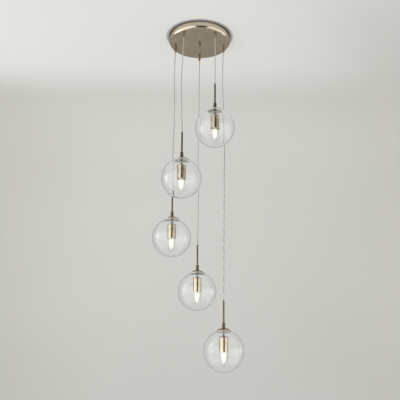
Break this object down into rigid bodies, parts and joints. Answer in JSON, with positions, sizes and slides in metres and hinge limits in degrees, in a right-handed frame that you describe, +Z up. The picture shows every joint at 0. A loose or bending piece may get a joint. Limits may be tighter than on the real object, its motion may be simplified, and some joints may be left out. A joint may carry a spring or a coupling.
{
  "type": "cluster pendant",
  "caption": "Round ceiling canopy with thin cords that hang clear glass globes at stepped heights, each over a candle bulb in a nickel socket cup.",
  "frame": {"origin": "centre of the canopy, on the ceiling plane", "axes": "+Z up into the ceiling, -Y towards the side from which the picture was taken, +X to its right"},
  "size_m": [0.3496, 0.3399, 1.32],
  "materials": {
    "brushed_nickel": "brushed nickel, warm",
    "polished_nickel": "polished nickel",
    "zinc_steel": "zinc plated",
    "earth_brass": "plain brass",
    "block_plastic": "moulded",
    "holder_plastic": "moulded, heat resistant",
    "cord_jacket": "clear jacket over silvery braid",
    "gasket_rubber": "translucent silicone",
    "clear_glass": "clear blown glass",
    "bulb_glass": "opal white, lit"
  },
  "bodies": {
    "root": {"canopy_pan": "brushed_nickel", "mounting_strap": "zinc_steel", "centre_stud": "zinc_steel", "stud_nut": "zinc_steel", "cap_nut": "brushed_nickel", "earth_screw": "earth_brass", "terminal_block": "block_plastic", "cord_grips": "brushed_nickel", "grip_locknuts": "zinc_steel", "canopy_leads": "cord_jacket"},
    "cord_a": {"cord_a": "cord_jacket"},
    "pendant_a": {"stem_a": "polished_nickel", "collar_a": "brushed_nickel", "globe_cap_a": "brushed_nickel", "gasket_a": "gasket_rubber", "globe_a": "clear_glass", "globe_clamp_a": "zinc_steel", "socket_cup_a": "polished_nickel", "lampholder_a": "holder_plastic"},
    "bulb_a": {"bulb_a": "bulb_glass"},
    "cord_b": {"cord_b": "cord_jacket"},
    "pendant_b": {"stem_b": "polished_nickel", "collar_b": "brushed_nickel", "globe_cap_b": "brushed_nickel", "gasket_b": "gasket_rubber", "globe_b": "clear_glass", "globe_clamp_b": "zinc_steel", "socket_cup_b": "polished_nickel", "lampholder_b": "holder_plastic"},
    "bulb_b": {"bulb_b": "bulb_glass"},
    "cord_c": {"cord_c": "cord_jacket"},
    "pendant_c": {"stem_c": "polished_nickel", "collar_c": "brushed_nickel", "globe_cap_c": "brushed_nickel", "gasket_c": "gasket_rubber", "globe_c": "clear_glass", "globe_clamp_c": "zinc_steel", "socket_cup_c": "polished_nickel", "lampholder_c": "holder_plastic"},
    "bulb_c": {"bulb_c": "bulb_glass"},
    "cord_d": {"cord_d": "cord_jacket"},
    "pendant_d": {"stem_d": "polished_nickel", "collar_d": "brushed_nickel", "globe_cap_d": "brushed_nickel", "gasket_d": "gasket_rubber", "globe_d": "clear_glass", "globe_clamp_d": "zinc_steel", "socket_cup_d": "polished_nickel", "lampholder_d": "holder_plastic"},
    "bulb_d": {"bulb_d": "bulb_glass"},
    "cord_e": {"cord_e": "cord_jacket"},
    "pendant_e": {"stem_e": "polished_nickel", "collar_e": "brushed_nickel", "globe_cap_e": "brushed_nickel", "gasket_e": "gasket_rubber", "globe_e": "clear_glass", "globe_clamp_e": "zinc_steel", "socket_cup_e": "polished_nickel", "lampholder_e": "holder_plastic"},
    "bulb_e": {"bulb_e": "bulb_glass"}
  },
  "joints": [
    {"name": "swing_a", "type": "hinge", "parent": "root", "child": "cord_a", "pos_m": [0.06172, -0.08495, -0.049], "axis": [-0.809, -0.5878, 0], "range_deg": [-1.5, 8]},
    {"name": "tilt_a", "type": "hinge", "parent": "cord_a", "child": "pendant_a", "pos_m": [0.06172, -0.08495, -0.24575], "axis": [-0.809, -0.5878, 0], "range_deg": [-6, 6]},
    {"name": "bulb_turn_a", "type": "hinge", "parent": "pendant_a", "child": "bulb_a", "pos_m": [0.06172, -0.08495, -0.40775], "axis": [0, 0, -1], "range_deg": [0, 1080]},
    {"name": "swing_b", "type": "hinge", "parent": "root", "child": "cord_b", "pos_m": [-0.06172, -0.08495, -0.049], "axis": [-0.809, 0.5878, 0], "range_deg": [-1.5, 8]},
    {"name": "tilt_b", "type": "hinge", "parent": "cord_b", "child": "pendant_b", "pos_m": [-0.06172, -0.08495, -0.44375], "axis": [-0.809, 0.5878, 0], "range_deg": [-6, 6]},
    {"name": "bulb_turn_b", "type": "hinge", "parent": "pendant_b", "child": "bulb_b", "pos_m": [-0.06172, -0.08495, -0.60575], "axis": [0, 0, -1], "range_deg": [0, 1080]},
    {"name": "swing_c", "type": "hinge", "parent": "root", "child": "cord_c", "pos_m": [-0.09986, 0.03245, -0.049], "axis": [0.309, 0.9511, 0], "range_deg": [-1.5, 8]},
    {"name": "tilt_c", "type": "hinge", "parent": "cord_c", "child": "pendant_c", "pos_m": [-0.09986, 0.03245, -0.64775], "axis": [0.309, 0.9511, 0], "range_deg": [-6, 6]},
    {"name": "bulb_turn_c", "type": "hinge", "parent": "pendant_c", "child": "bulb_c", "pos_m": [-0.09986, 0.03245, -0.80975], "axis": [0, 0, -1], "range_deg": [0, 1080]},
    {"name": "swing_d", "type": "hinge", "parent": "root", "child": "cord_d", "pos_m": [0, 0.105, -0.049], "axis": [1, 0, 0], "range_deg": [-1.5, 8]},
    {"name": "tilt_d", "type": "hinge", "parent": "cord_d", "child": "pendant_d", "pos_m": [0, 0.105, -0.84675], "axis": [1, 0, 0], "range_deg": [-6, 6]},
    {"name": "bulb_turn_d", "type": "hinge", "parent": "pendant_d", "child": "bulb_d", "pos_m": [0, 0.105, -1.00875], "axis": [0, 0, -1], "range_deg": [0, 1080]},
    {"name": "swing_e", "type": "hinge", "parent": "root", "child": "cord_e", "pos_m": [0.09986, 0.03245, -0.049], "axis": [0.309, -0.9511, 0], "range_deg": [-1.5, 8]},
    {"name": "tilt_e", "type": "hinge", "parent": "cord_e", "child": "pendant_e", "pos_m": [0.09986, 0.03245, -1.06375], "axis": [0.309, -0.9511, 0], "range_deg": [-6, 6]},
    {"name": "bulb_turn_e", "type": "hinge", "parent": "pendant_e", "child": "bulb_e", "pos_m": [0.09986, 0.03245, -1.22575], "axis": [0, 0, -1], "range_deg": [0, 1080]}
  ]
}
